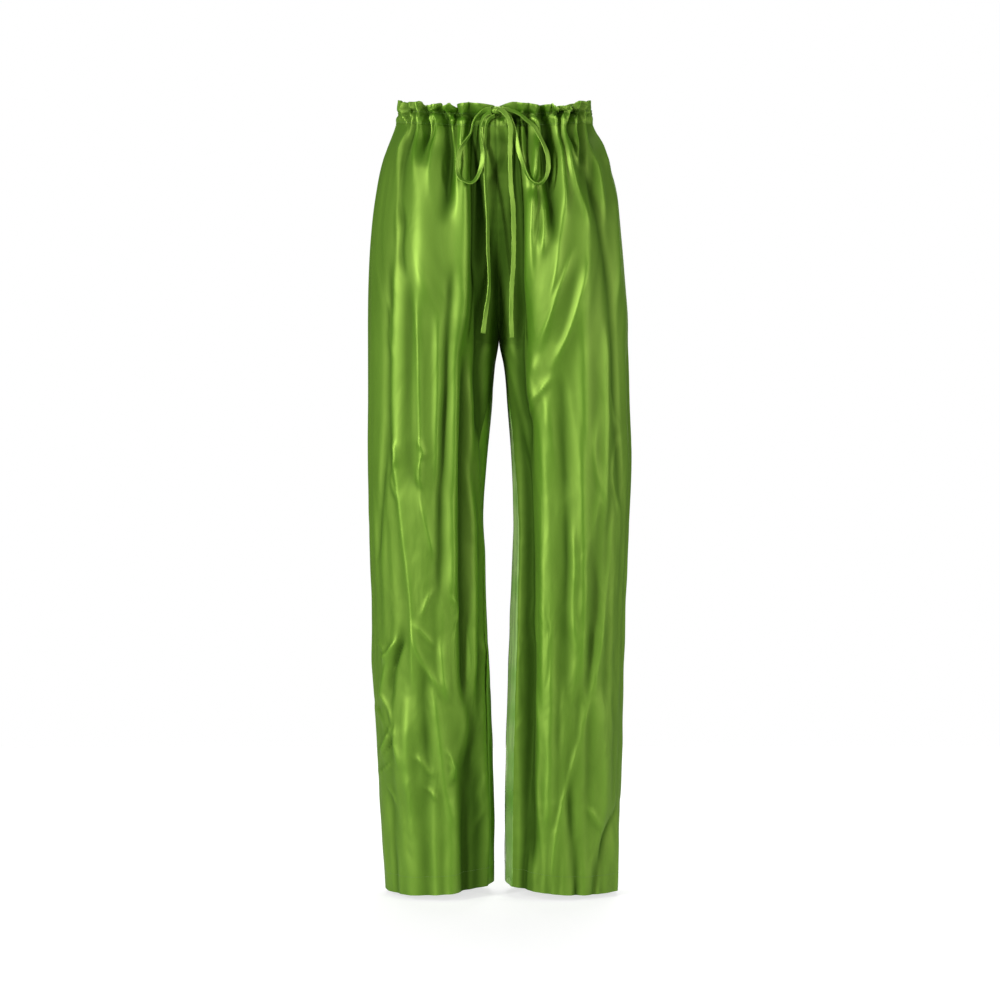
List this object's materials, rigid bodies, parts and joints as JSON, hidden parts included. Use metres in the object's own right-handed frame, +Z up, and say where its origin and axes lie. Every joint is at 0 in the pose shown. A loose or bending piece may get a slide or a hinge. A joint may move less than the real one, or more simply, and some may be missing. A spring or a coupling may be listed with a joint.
{
  "type": "drawstring trousers",
  "caption": "Wide straight satin trousers with a gathered drawstring waist tied in a bow, hollow and filled out as if worn.",
  "frame": {"origin": "centre of the waist opening, at the height of the drawstring at the sides", "axes": "+Z up, the front faces -Y, +X to the right as seen from the front"},
  "size_m": [0.3557, 0.2577, 1.0674],
  "materials": {
    "satin": "satin",
    "casing_satin": "satin",
    "drawstring": "satin"
  },
  "bodies": {
    "root": {"front_left": "satin", "front_right": "satin", "back_left": "satin", "back_right": "satin", "casing_front": "casing_satin", "casing_back": "casing_satin", "bow_knot": "drawstring", "bow_loop_left": "drawstring", "bow_loop_right": "drawstring", "drawstring_end_left": "drawstring", "drawstring_end_right": "drawstring"}
  },
  "joints": []
}
